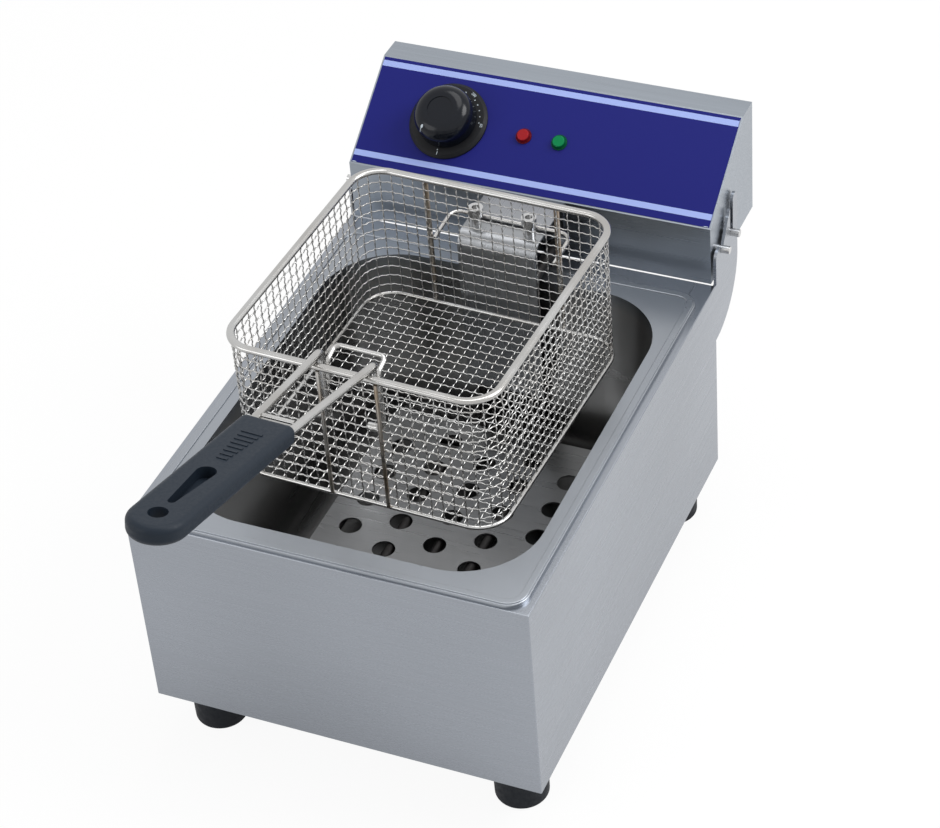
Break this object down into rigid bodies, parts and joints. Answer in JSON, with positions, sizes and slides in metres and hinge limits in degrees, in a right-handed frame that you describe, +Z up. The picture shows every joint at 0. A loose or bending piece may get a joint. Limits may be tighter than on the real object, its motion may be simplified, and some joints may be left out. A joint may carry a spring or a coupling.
{
  "type": "countertop deep fryer",
  "caption": "Countertop electric deep fryer with a drawn pan, a tilting control head with heating elements, and a hanging wire basket with a lift-out handle.",
  "frame": {"origin": "on the floor, under the middle of the whole object's box", "axes": "+X right as seen from the front, +Y towards the back with the control head, +Z up"},
  "size_m": [0.287, 0.5938, 0.3424],
  "materials": {
    "casing_steel": "brushed",
    "pan_steel": "satin",
    "rubber_black": "matt",
    "screw_steel": "bright",
    "film_blue": "satin",
    "black_plastic": "satin",
    "red_lens": "clear",
    "green_lens": "clear",
    "inner_plastic": "moulded",
    "inner_metal": "plain",
    "element_steel": "heat-dulled",
    "basket_wire": "nickel plate",
    "grip_plastic": "moulded"
  },
  "bodies": {
    "stand": {"casing_shell": "casing_steel", "back_panel": "casing_steel", "base_plate": "casing_steel", "foot_front_left": "rubber_black", "foot_front_right": "rubber_black", "foot_rear_left": "rubber_black", "foot_rear_right": "rubber_black", "foot_screws": "screw_steel", "base_screws": "screw_steel", "pan": "pan_steel", "hinge_bracket_left": "casing_steel", "hinge_bracket_right": "casing_steel", "bracket_screws": "screw_steel"},
    "head": {"head_cover": "casing_steel", "head_back_panel": "casing_steel", "cover_screws": "screw_steel", "panel_film": "film_blue", "dial_skirt": "black_plastic", "thermostat_body": "inner_metal", "thermostat_bulb": "inner_metal", "lamp_lens_red": "red_lens", "lamp_lens_green": "green_lens", "lamp_body_red": "inner_plastic", "lamp_body_green": "inner_plastic", "pivot_pins": "screw_steel", "guide_pins": "screw_steel", "element_guard": "pan_steel", "guard_rivets": "screw_steel", "hanger_pegs": "screw_steel", "heating_element_left": "element_steel", "heating_element_right": "element_steel", "element_nuts": "screw_steel", "cable_gland": "black_plastic", "reset_bezel": "black_plastic", "cutout_body": "inner_plastic", "terminal_block": "inner_plastic", "micro_switch": "inner_plastic"},
    "knob": {"knob": "black_plastic", "thermostat_shaft": "screw_steel"},
    "reset": {"reset_button": "black_plastic"},
    "basket": {"basket_rim": "basket_wire", "basket_floor_rim": "basket_wire", "basket_net_front": "basket_wire", "basket_net_back": "basket_wire", "basket_net_left": "basket_wire", "basket_net_right": "basket_wire", "basket_net_corners": "basket_wire", "basket_net_floor": "basket_wire", "basket_hook": "basket_wire", "basket_rear_stays": "basket_wire", "basket_front_stays": "basket_wire", "handle_staple": "basket_wire"},
    "handle": {"handle_rods": "basket_wire", "handle_cross_wire": "basket_wire", "handle_grip": "grip_plastic"},
    "plate": {"element_cover": "pan_steel"}
  },
  "joints": [
    {"name": "head_tilt", "type": "hinge", "parent": "stand", "child": "head", "pos_m": [0, 0.2283, 0.215], "axis": [-1, 0, 0], "range_deg": [0, 70]},
    {"name": "knob_turn", "type": "hinge", "parent": "head", "child": "knob", "pos_m": [-0.071, 0.23074, 0.26261], "axis": [0, -0.549, 0.8358], "range_deg": [-240, 35]},
    {"name": "reset_press", "type": "slide", "parent": "head", "child": "reset", "axis": [0, -1, 0], "range_m": [0, 0.002], "stiffness_N_per_m": 400},
    {"name": "basket_lift", "type": "slide", "parent": "head", "child": "basket", "axis": [0, 0, 1], "range_m": [0, 0.16]},
    {"name": "handle_pull", "type": "slide", "parent": "basket", "child": "handle", "axis": [0, 0, 1], "range_m": [0, 0.06]},
    {"name": "plate_lift", "type": "slide", "parent": "head", "child": "plate", "axis": [0, 0, 1], "range_m": [0, 0.06]}
  ]
}
